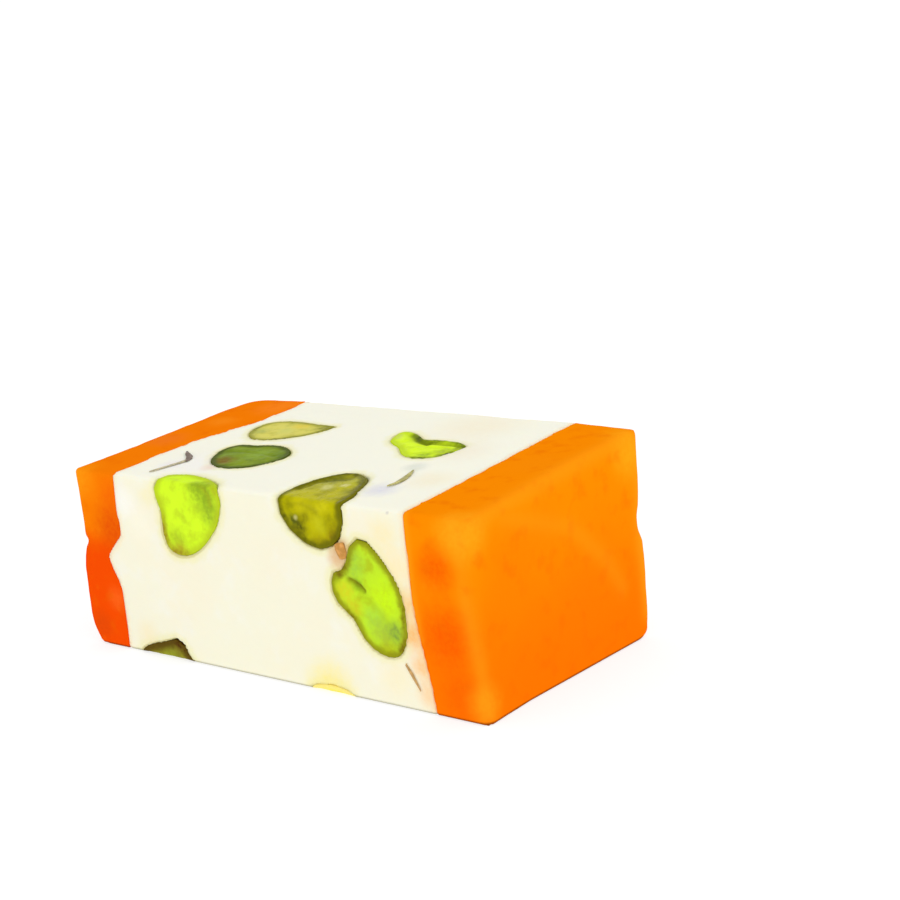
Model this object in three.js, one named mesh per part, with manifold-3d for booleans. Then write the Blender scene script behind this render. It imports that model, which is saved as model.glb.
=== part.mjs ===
// A cut bar of soft white nougat with whole pistachio kernels, between two layers of apricot fruit
// paste. The knife has cut it from a slab: both long sides, the top and the underside are cuts, so
// every kernel that meets them is sliced flush and shows its green flesh.
// Millimetres, +X from the left layer to the right one, -Y is the front, +Z up. The origin lies
// on the table, under the middle of the bar.

import * as THREE from 'three';
import { mergeVertices } from 'three/addons/utils/BufferGeometryUtils.js';
import Module from 'manifold-3d';

const wasm = await Module();
wasm.setup();

// ---- driving dimensions: the whole bar --------------------------------------------------------

const LENGTH = 58.6; // outer face to outer face of the two fruit layers
const DEPTH = 31; // front cut to back cut
const HEIGHT = 22; // nominal; the four top corners differ because the slab was cut by hand
const TOP_CORNER = { frontLeft: 21.1, backLeft: 22.5, backRight: 23.9, frontRight: 21.7 };
const CUT_EDGE_RADIUS = 0.5; // the long edges that the knife leaves
const GAP = 0.3; // clearance between pieces that touch

// How far each end face is rounded into the four sides of the bar
const LEFT_ROUND = { front: 0.8, top: 0.5, back: 3.6, bottom: 1.0 };
const RIGHT_ROUND = { front: 1.2, top: 0.6, back: 0.8, bottom: 0.35 };

// The soft ends: their long edges are rounder than the nougat's, they narrow a little at the
// back, and the left one leans in above a crease at mid height
const END_EDGE_RADIUS = { lowerFront: 0.4, upperFront: 0.5, upperBack: 0.6, lowerBack: 2.0 };
const SOFT_FROM = 19; // distance from the middle of the bar at which the softness sets in
const CREASE_HEIGHT = 12.4; // middle of a V groove across the left end
const CREASE_DEPTH = 0.6;
const CREASE_SIDE_DEPTH = 0.35; // where it runs round the front edge
const CREASE_OPENING = 1.5;
const CREASE_REACH = 5.5;
const LEAN = 0.7; // how far the left end stands back above the crease
const LEAN_RISE = 2.4; // height over which the lean builds up, below the crease
const UPRIGHT_CORNER = { share: 0.55, height: 7, depth: 8 }; // the upper front corner leans less
const BACK_TAPER = 0.4; // how far the back cut comes forward at the ends
const BACK_LEAN = 0.3; // added to the taper above the crease
const FOOT_TUCK = { depth: 2.2, height: 4.4 }; // the left end is drawn in towards its foot
const FOOT_FLARE = { reach: 0.45, height: 4, depth: 8 }; // the right layer's foot, at the front
const RIGHT_SWELL = 0.35; // the top of the right layer swells by this, between front and back
const WAIST_DEPTH = 0.8; // the back edge of an end is drawn in at the height of the crease
const WAIST_REACH = 1.7;

// ---- driving dimensions: the layers -----------------------------------------------------------

const LEFT_JOINT = { front: -22.3, foot: -22.9, back: -19.8, thickensFrom: -4, thickensTo: 8 };
const RIGHT_JOINT = { top: 20.8, foot: 23.0, flareHeight: 13 };
const STEP = { height: 13.6, sharp: 2.4, tail: 6.5, depth: 1.6, atBack: 0.35 };
const LIP = { height: 14.2, reach: 1.4, depth: 0.4 }; // the left layer's overhang above the step
const RIPPLE = 0.22; // the joints between the layers wander by this much
const RIPPLE_PITCH = { deep: 4.5, high: 3 }; // millimetres to a radian of the wave
const RIPPLE_SHIFT = { left: 0.4, right: 2.1 };

// ---- driving dimensions: the kernels ----------------------------------------------------------

// Each kernel is an egg-shaped body. "cut" names the face that slices it, "at" is its middle on
// that face as the face is looked at, and "sunk" how far its middle lies below the face. "reach"
// is half its thickness. "turn" swings its length in the face and "roll" tips it about that
// length, "taper" widens the far end and "bend" bows it like a bean. A dent is [direction, share
// of the radius, spread]; a negative share makes a bump. Angles are in degrees.
const KERNELS = {
  pistachio_front_left: {
    cut: 'front', at: [-11.3, 17.8], length: 12.8, width: 10.2, reach: 3.2, sunk: 0,
    turn: 22.5, roll: -21, taper: -0.35, bend: 0.3, dents: [[167, 0.43, 38]], flesh: '#cdf32a',
  },
  pistachio_edge_middle: {
    cut: 'top', at: [8.4, -13.4], length: 13.5, width: 7.9, reach: 4.0, sunk: 1.6,
    turn: 94, roll: 11, taper: -0.26, bend: -0.74, dents: [[62, -0.45, 48]], flesh: '#b9b41a',
  },
  pistachio_front_right: {
    cut: 'front', at: [15.3, 10.8], length: 12.0, width: 9.2, reach: 4.2, sunk: 0,
    turn: -56, roll: 0, taper: -0.23, bend: -0.2, flesh: '#c6ee36',
    dents: [[270, 0.26, 24], [150, -0.25, 20], [187, 0.18, 11]],
  },
  pistachio_foot_left: {
    cut: 'front', at: [-15.7, -0.4], length: 10.1, width: 2.7, reach: 3.6, sunk: 0,
    turn: -14.5, roll: 0, taper: 0.24, bend: -1.6, dents: [[86, -0.6, 14]], flesh: '#a9b25a',
  },
  pistachio_foot_right: {
    cut: 'under', at: [8.6, 15.2], length: 6.4, width: 4.6, reach: 0.9, sunk: 0,
    turn: 6, roll: 0, taper: 0.1, bend: 0, dents: [], flesh: '#f0dc74',
  },
  pistachio_top_left: {
    cut: 'top', at: [-10.7, -4.8], length: 10.4, width: 8.9, reach: 3.6, sunk: 0,
    turn: -24, roll: 0, taper: 0.16, bend: 0.6, dents: [[138, 0.25, 30]], flesh: '#83a02a',
  },
  pistachio_top_left_back: {
    cut: 'top', at: [-13.0, 4.3], length: 10.0, width: 7.1, reach: 3.2, sunk: 0,
    turn: 13, roll: 0, taper: -0.35, bend: 0.8, dents: [[28, -0.24, 14]], flesh: '#d9d268',
  },
  pistachio_top_right: {
    cut: 'top', at: [7.3, 3.8], length: 12.4, width: 7.0, reach: 3.3, sunk: 0,
    turn: -30, roll: 0, taper: 0.35, bend: 0.65, flesh: '#d3f13f',
    dents: [[113, 0.53, 32], [268, 0.38, 38], [56, -0.2, 15], [232, -0.12, 15]],
  },
  pistachio_back_right: {
    cut: 'back', at: [-12.2, 14.6], length: 12.6, width: 8.4, reach: 4.4, sunk: 0,
    turn: 62, roll: 0, taper: 0.15, bend: 0.6, dents: [[250, 0.14, 24]], flesh: '#bfe42f',
  },
  pistachio_back_middle: {
    cut: 'back', at: [0.6, 8.2], length: 13.4, width: 8.8, reach: 4.6, sunk: 0,
    turn: -24, roll: 0, taper: -0.14, bend: -0.7, dents: [[80, 0.22, 26]], flesh: '#a9b51f',
  },
  pistachio_back_left: {
    cut: 'back', at: [13.6, 15.8], length: 9.6, width: 7.2, reach: 4.0, sunk: 0,
    turn: 18, roll: 0, taper: 0.1, bend: 0, dents: [[300, 0.12, 30]], flesh: '#c9e83a',
  },
  pistachio_back_low: {
    cut: 'back', at: [13.9, 4.6], length: 8.6, width: 6.0, reach: 3.4, sunk: 0,
    turn: -38, roll: 0, taper: 0.16, bend: 0.3, dents: [], flesh: '#8da32c',
  },
  pistachio_under_right: {
    cut: 'under', at: [11.6, -4.4], length: 12.8, width: 8.6, reach: 4.0, sunk: 0,
    turn: 34, roll: 0, taper: 0.14, bend: 0.5, dents: [[70, 0.16, 26]], flesh: '#c4e63a',
  },
  pistachio_under_left: {
    cut: 'under', at: [-9.4, -7.6], length: 11.2, width: 7.8, reach: 3.8, sunk: 0,
    turn: -48, roll: 0, taper: -0.1, bend: 0.4, dents: [[210, 0.14, 28]], flesh: '#a6b62a',
  },
};

const NOUGAT = { color: '#fbf5df', roughness: 0.72 };
const APRICOT_LEFT = { color: '#f7690f', roughness: 0.48 };
const APRICOT_RIGHT = { color: '#fb8208', roughness: 0.45 };
const KERNEL_ROUGHNESS = 0.5;
const BOW_MIDDLE = 0.5; // share of its bend by which a kernel's middle bows the other way

// ---- mesh steps -------------------------------------------------------------------------------

const CORNER_STEPS = 2;
const SIDE_STEPS = { front: 14, top: 8, back: 14, bottom: 8 };
const CAP_RINGS = 4; // rings that fill an end face
const ROUND_RINGS = 3; // rings of the rounding between the end face and the sides
const LENGTH_STEPS = 12;
const KERNEL_AROUND = 28;
const KERNEL_RINGS = 8;
const JOINT_STEPS_DEEP = 8;
const JOINT_STEPS_HIGH = 20;
const WELD = 1e-4; // vertices nearer than this are one
const OVERLAP = 6; // how far the cutting bodies reach past the bar

// ---- small helpers ----------------------------------------------------------------------------

const { lerp, clamp, smoothstep, degToRad, radToDeg, euclideanModulo } = THREE.MathUtils;

const bell = (offset, reach) => Math.exp(-((offset / reach) ** 2));

function toSolid(geometry) {
  const bare = geometry.clone();
  bare.deleteAttribute('normal');
  bare.deleteAttribute('uv');
  const welded = mergeVertices(bare, WELD);
  const vertProperties = new Float32Array(welded.attributes.position.array);
  const triVerts = new Uint32Array(welded.index.array);
  return new wasm.Manifold(new wasm.Mesh({ numProp: 3, vertProperties, triVerts }));
}

// The mesh of one finished piece, set down at its own middle
function toMesh(name, solid, look) {
  const { vertProperties, triVerts } = solid.getMesh();
  const geometry = new THREE.BufferGeometry();
  geometry.setAttribute('position', new THREE.BufferAttribute(vertProperties, 3));
  geometry.setIndex(new THREE.BufferAttribute(triVerts, 1));
  geometry.computeBoundingBox();
  const middle = geometry.boundingBox.getCenter(new THREE.Vector3());
  geometry.translate(-middle.x, -middle.y, -middle.z);
  geometry.computeVertexNormals();
  const mesh = new THREE.Mesh(geometry, new THREE.MeshStandardMaterial({ ...look, metalness: 0 }));
  mesh.name = name;
  mesh.position.copy(middle);
  return mesh;
}

// Moves every vertex of a geometry to the place that a function gives for it
function reshape(geometry, place) {
  const spots = geometry.attributes.position;
  const spot = new THREE.Vector3();
  for (let i = 0; i < spots.count; i += 1) {
    spot.fromBufferAttribute(spots, i);
    place(spot, i);
    spots.setXYZ(i, spot.x, spot.y, spot.z);
  }
  return geometry;
}

// ---- the outside of the bar -------------------------------------------------------------------

// The uneven top: straight between its four corner heights, save where the right layer swells
function topHeight(x, y) {
  const right = clamp(x / LENGTH + 0.5, 0, 1);
  const back = clamp(y / DEPTH + 0.5, 0, 1);
  const front = lerp(TOP_CORNER.frontLeft, TOP_CORNER.frontRight, right);
  const swell = RIGHT_SWELL * Math.sin(Math.PI * back) * smoothstep(x, SOFT_FROM, LENGTH / 2);
  return lerp(front, lerp(TOP_CORNER.backLeft, TOP_CORNER.backRight, right), back) + swell;
}

// The columns of a crosswise section, in the order in which its outline is walked: from the lower
// front corner up the front, back over the top, down the back and forward underneath
const SIDES = ['front', 'top', 'back', 'bottom'];
const CORNERS = ['lowerFront', 'upperFront', 'upperBack', 'lowerBack'];
const COLUMNS = SIDES.flatMap((side, turn) => {
  const steps = CORNER_STEPS + SIDE_STEPS[side];
  return Array.from({ length: steps }, (_, step) => ({
    turn,
    corner: Math.min(step / CORNER_STEPS, 1),
    along: Math.max(step - CORNER_STEPS, 0) / SIDE_STEPS[side],
  }));
});

// A point on the rounded corner of a section; "share" walks it from one side to the next
function cornerPoint(turn, share, inset, endness) {
  const name = CORNERS[turn % CORNERS.length];
  const radius = lerp(CUT_EDGE_RADIUS, END_EDGE_RADIUS[name], endness);
  const centre = new THREE.Vector2(
    name.endsWith('Front') ? inset.front + radius - DEPTH / 2 : DEPTH / 2 - inset.back - radius,
    name.startsWith('upper') ? HEIGHT - inset.top - radius : inset.bottom + radius,
  );
  const angle = degToRad(270 - 90 * (turn + share));
  return centre.add(new THREE.Vector2(Math.cos(angle), Math.sin(angle)).multiplyScalar(radius));
}

// A point of the section: "inset" takes each side in, "endness" goes from 0 in the nougat to 1
// at the ends
function sectionPoint({ turn, corner, along }, inset, endness) {
  const point = cornerPoint(turn, corner, inset, endness);
  return point.lerp(cornerPoint(turn + 1, 0, inset, endness), along);
}

// How far the rounding between an end face and a side takes a point in from the end face
function rolledIn(fromSide, radius) {
  const share = clamp(1 - fromSide / radius, 0, 1);
  return radius * (1 - Math.sqrt(1 - share * share));
}

// A point of an end: "cap" goes from 0 at the middle of the end face to 1 at its rim, "round"
// from 0 at that rim to 1 where the sides begin. "inward" is its distance from the end face
function endPoint(column, cap, round, rounding, endness) {
  const angle = (round * Math.PI) / 2;
  const inset = {};
  for (const side of SIDES) inset[side] = rounding[side] * (1 - Math.sin(angle));
  const point = sectionPoint(column, inset, endness);
  point.lerp(new THREE.Vector2(0, HEIGHT / 2), 1 - cap);
  const from = {
    front: DEPTH / 2 + point.x, top: HEIGHT - point.y, back: DEPTH / 2 - point.x, bottom: point.y,
  };
  return { point, inward: Math.max(...SIDES.map((side) => rolledIn(from[side], rounding[side]))) };
}

// Takes a point of the straight-sided bar to the hand-cut one
function handCut(spot) {
  const nearBack = clamp(spot.y / (DEPTH / 2), 0, 1);
  const softness = smoothstep(Math.abs(spot.x), SOFT_FROM, LENGTH / 2);
  const above = smoothstep(spot.z, CREASE_HEIGHT - LEAN_RISE, CREASE_HEIGHT);
  const waist = WAIST_DEPTH * bell(spot.z - CREASE_HEIGHT, WAIST_REACH);
  spot.y -= nearBack * softness * (BACK_TAPER + BACK_LEAN * above + waist);
  const nearTop = smoothstep(spot.z, HEIGHT - UPRIGHT_CORNER.height, HEIGHT);
  const nearFront = 1 - smoothstep(spot.y, -DEPTH / 2, UPRIGHT_CORNER.depth - DEPTH / 2);
  const lean = LEAN * above * (1 - UPRIGHT_CORNER.share * nearTop * nearFront);
  const low = clamp(1 - spot.z / FOOT_TUCK.height, 0, 1);
  const tuck = FOOT_TUCK.depth * (1 - Math.sqrt(1 - low * low));
  const atFoot = 1 - smoothstep(spot.z, 0, FOOT_FLARE.height);
  const atFront = 1 - smoothstep(spot.y, -DEPTH / 2, FOOT_FLARE.depth - DEPTH / 2);
  const flare = FOOT_FLARE.reach * atFoot * atFront;
  spot.x += softness * (spot.x < 0 ? lean + tuck : flare);
  spot.z *= topHeight(spot.x, spot.y) / HEIGHT;
}

function barOutside() {
  const endRings = CAP_RINGS + ROUND_RINGS;
  const rings = 2 * endRings + LENGTH_STEPS;
  const grid = new THREE.SphereGeometry(1, COLUMNS.length, rings);
  return reshape(grid, (spot, i) => {
    const ring = Math.floor(i / (COLUMNS.length + 1));
    const column = COLUMNS[(i % (COLUMNS.length + 1)) % COLUMNS.length];
    const along = clamp((ring - endRings) / LENGTH_STEPS, 0, 1);
    const endness = smoothstep(Math.abs(along - 0.5) * LENGTH, SOFT_FROM, LENGTH / 2);
    const fromEnd = Math.min(ring, rings - ring, endRings);
    const cap = Math.min(fromEnd / CAP_RINGS, 1);
    const round = clamp((fromEnd - CAP_RINGS) / ROUND_RINGS, 0, 1);
    const left = endPoint(column, cap, round, LEFT_ROUND, endness);
    const right = endPoint(column, cap, round, RIGHT_ROUND, endness);
    const { x: y, y: z } = along < 0.5 ? left.point : right.point;
    spot.set(lerp(left.inward - LENGTH / 2, LENGTH / 2 - right.inward, along), y, z);
    handCut(spot);
  });
}

// The crease that runs across the left end and a little way along the front: a V groove, cut by
// four-sided wedges laid on edge
function creaseCutter() {
  const endX = LEAN - LENGTH / 2;
  const wedge = (length) => new THREE.CylinderGeometry(1, 1, length, 4, 1);
  const acrossEnd = wedge(DEPTH + OVERLAP);
  acrossEnd.scale(CREASE_DEPTH, 1, CREASE_OPENING / 2).translate(endX, 0, CREASE_HEIGHT);
  const alongFront = wedge(2 * CREASE_REACH).rotateZ(Math.PI / 2);
  alongFront.scale(1, CREASE_SIDE_DEPTH, CREASE_OPENING / 2);
  alongFront.translate(-LENGTH / 2, -DEPTH / 2, CREASE_HEIGHT);
  return toSolid(acrossEnd).add(toSolid(alongFront));
}

// ---- the joints between the layers ------------------------------------------------------------

function ripple(y, z, shift) {
  const deep = Math.sin(y / RIPPLE_PITCH.deep + shift);
  const high = Math.sin(z / RIPPLE_PITCH.high + 2 * shift);
  return (RIPPLE * (deep + high)) / 2;
}

// Below its step the nougat bulges into the left layer, most at the front
function leftJoint(y, z) {
  const { front, foot, back, thickensFrom, thickensTo } = LEFT_JOINT;
  const below = STEP.height - z;
  const atFront = lerp(front, foot, smoothstep(below, 0, STEP.sharp));
  const plain = lerp(atFront, back, smoothstep(y, thickensFrom, thickensTo));
  const bulge = smoothstep(below, 0, STEP.sharp) * (1 - smoothstep(below, STEP.sharp, STEP.tail));
  const fade = lerp(1, STEP.atBack, clamp(y / DEPTH + 0.5, 0, 1));
  const lip = LIP.depth * bell(z - LIP.height, LIP.reach);
  return plain + (lip - STEP.depth * bulge) * fade + ripple(y, z, RIPPLE_SHIFT.left);
}

// The right joint flares outward towards the foot
function rightJoint(y, z) {
  const { top, foot, flareHeight } = RIGHT_JOINT;
  const low = smoothstep(flareHeight - z, 0, flareHeight);
  return lerp(top, foot, low) + ripple(y, z, RIPPLE_SHIFT.right);
}

// A cutting body between two surfaces, each given as its x at (y, z)
function slab(leftAt, rightAt) {
  const box = new THREE.BoxGeometry(
    1, DEPTH + OVERLAP, HEIGHT + OVERLAP, 1, JOINT_STEPS_DEEP, JOINT_STEPS_HIGH,
  );
  box.translate(0, 0, HEIGHT / 2);
  return toSolid(reshape(box, (spot) => {
    spot.x = (spot.x < 0 ? leftAt : rightAt)(spot.y, spot.z);
  }));
}

// ---- the kernels ------------------------------------------------------------------------------

// Each face as it is looked at: its right hand, its up and its outward direction
const FACES = {
  front: { right: [1, 0, 0], up: [0, 0, 1], out: [0, -1, 0] },
  back: { right: [-1, 0, 0], up: [0, 0, 1], out: [0, 1, 0] },
  top: { right: [1, 0, 0], up: [0, 1, 0], out: [0, 0, 1] },
  under: { right: [1, 0, 0], up: [0, -1, 0], out: [0, 0, -1] },
};

function kernelPlace({ cut, at, sunk, turn, roll }) {
  const [right, up, out] = ['right', 'up', 'out'].map((way) => new THREE.Vector3(...FACES[cut][way]));
  const place = new THREE.Matrix4().makeBasis(right, up, out);
  const middle = new THREE.Vector3().addScaledVector(right, at[0]).addScaledVector(up, at[1]);
  const faceAt = { front: DEPTH / 2, back: DEPTH / 2, top: topHeight(middle.x, middle.y), under: 0 };
  middle.addScaledVector(out, faceAt[cut] - sunk);
  place.setPosition(middle);
  place.multiply(new THREE.Matrix4().makeRotationZ(degToRad(turn)));
  return place.multiply(new THREE.Matrix4().makeRotationX(degToRad(roll)));
}

// The body of a kernel, larger all round by "spare"
function kernelBody(kernel, spare) {
  const halfLength = kernel.length / 2 + spare;
  const halfWidth = kernel.width / 2 + spare;
  const egg = new THREE.SphereGeometry(1, KERNEL_AROUND, KERNEL_RINGS).rotateX(Math.PI / 2);
  reshape(egg, (spot) => {
    const direction = radToDeg(Math.atan2(spot.y, spot.x));
    let share = 1;
    for (const [towards, depth, spread] of kernel.dents) {
      const away = euclideanModulo(direction - towards + 180, 360) - 180;
      share -= depth * bell(away, spread);
    }
    const bow = kernel.bend * (spot.x * spot.x - BOW_MIDDLE) * (1 - spot.z * spot.z);
    spot.y = halfWidth * (1 + kernel.taper * spot.x) * spot.y * share + bow;
    spot.x *= halfLength * share;
    spot.z *= kernel.reach + spare;
  });
  return toSolid(egg.applyMatrix4(kernelPlace(kernel)));
}

// ---- the whole bar ----------------------------------------------------------------------------

const bar = toSolid(barOutside());
const farLeft = () => -LENGTH / 2 - OVERLAP;
const farRight = () => LENGTH / 2 + OVERLAP;
const leftLayer = bar.intersect(slab(farLeft, (y, z) => leftJoint(y, z) - GAP / 2))
  .subtract(creaseCutter());
const rightLayer = bar.intersect(slab((y, z) => rightJoint(y, z) + GAP / 2, farRight));
let nougat = bar.intersect(
  slab((y, z) => leftJoint(y, z) + GAP / 2, (y, z) => rightJoint(y, z) - GAP / 2),
);

const group = new THREE.Group();
for (const [name, kernel] of Object.entries(KERNELS)) {
  nougat = nougat.subtract(kernelBody(kernel, GAP));
  const look = { color: kernel.flesh, roughness: KERNEL_ROUGHNESS };
  group.add(toMesh(name, bar.intersect(kernelBody(kernel, 0)), look));
}
group.add(toMesh('nougat_core', nougat, NOUGAT));
group.add(toMesh('apricot_layer_left', leftLayer, APRICOT_LEFT));
group.add(toMesh('apricot_layer_right', rightLayer, APRICOT_RIGHT));

export default group;
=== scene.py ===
import math

import bmesh
import bpy
from bpy.props import FloatProperty, FloatVectorProperty, IntProperty, PointerProperty
from mathutils import Matrix, Vector, noise
from mathutils.bvhtree import BVHTree


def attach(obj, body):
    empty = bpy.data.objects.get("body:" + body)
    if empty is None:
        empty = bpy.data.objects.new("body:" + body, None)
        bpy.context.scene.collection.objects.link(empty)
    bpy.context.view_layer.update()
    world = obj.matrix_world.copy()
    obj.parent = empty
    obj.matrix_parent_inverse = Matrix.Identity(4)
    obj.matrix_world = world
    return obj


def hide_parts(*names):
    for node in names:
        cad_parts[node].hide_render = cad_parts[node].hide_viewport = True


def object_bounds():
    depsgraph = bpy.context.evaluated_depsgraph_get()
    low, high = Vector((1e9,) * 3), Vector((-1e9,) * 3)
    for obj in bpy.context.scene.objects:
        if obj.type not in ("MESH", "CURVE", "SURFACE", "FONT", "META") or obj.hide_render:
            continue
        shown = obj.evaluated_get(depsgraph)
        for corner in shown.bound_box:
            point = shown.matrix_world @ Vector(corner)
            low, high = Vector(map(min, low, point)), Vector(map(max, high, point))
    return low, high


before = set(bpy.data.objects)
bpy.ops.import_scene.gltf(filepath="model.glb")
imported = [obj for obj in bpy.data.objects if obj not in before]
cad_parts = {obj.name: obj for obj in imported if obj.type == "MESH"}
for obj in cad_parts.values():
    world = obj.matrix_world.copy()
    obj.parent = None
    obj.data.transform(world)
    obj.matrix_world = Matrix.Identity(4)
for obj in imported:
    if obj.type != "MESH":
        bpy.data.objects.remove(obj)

CAD_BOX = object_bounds()

bl_info = {
    "name": "Nougat bar",
    "version": (1, 0, 0),
    "blender": (4, 5, 0),
    "location": "3D View > Sidebar > Nougat bar",
    "description": "Dresses the solids of a cut bar of nougat with skins, relief and finishes",
    "category": "Object",
}

# ---- measures ----

MM = 0.001
WELD = 0.002 * MM  # vertices nearer than this are one
CLEARANCE = 0.3 * MM  # what the solids leave between pieces that touch
OVERLAP = 0.02 * MM  # how far a dressed piece reaches into its neighbour
STRETCH = 0.9 * MM  # width of the border that stretches to close the clearance
FOOT = 0.4 * MM  # height up to which the foot of a piece keeps the form of its solid
FOOT_SHADE = 0.5 * MM  # height up to which the foot is shaded
FLAT_BORDER = 0.7  # depth in millimetres at which a groove shows its full painted shade
FULL_GROOVE = 0.35  # millimetres at which a groove shows its full colour
SLOT_DEPTH = 0.16  # millimetres that the nougat gives way under a sliver of skin
FRONT, BACK = -15.5, 15.5  # where the long cut faces stand along y, in millimetres
OUTSIDE = {"front": -30, "top": 40}  # where rays to a cut face start, in millimetres
FINE_STEP = 0.35  # size and share of the finer waves of a relief, against the broad ones
CLOUD_SWING, CLOUD_STEPS = 0.6, 3  # how far cloudy noise swings, and its steps of detail
WALL = 2  # how steeply the walls of a groove fall
TOP_LIGHT_RISE, TOP_LIGHT_START = 1.6, 0.5  # how the painted paler, cooler light from above rises where the nougat faces up
SLIVER_SIDES = 10

KERNEL_NODES = sorted(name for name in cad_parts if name.startswith("pistachio_"))
CORE_NODE = "nougat_core"


def clamp(value):
    return min(1.0, max(0.0, value))


def tint(code):
    """The linear colour of a hexadecimal one, by the curve of sRGB."""
    channels = [int(code[at:at + 2], 16) / 255 for at in (1, 3, 5)]
    return [c / 12.92 if c <= 0.04045 else ((c + 0.055) / 1.055) ** 2.4 for c in channels]


# ---- kernels ----

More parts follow.
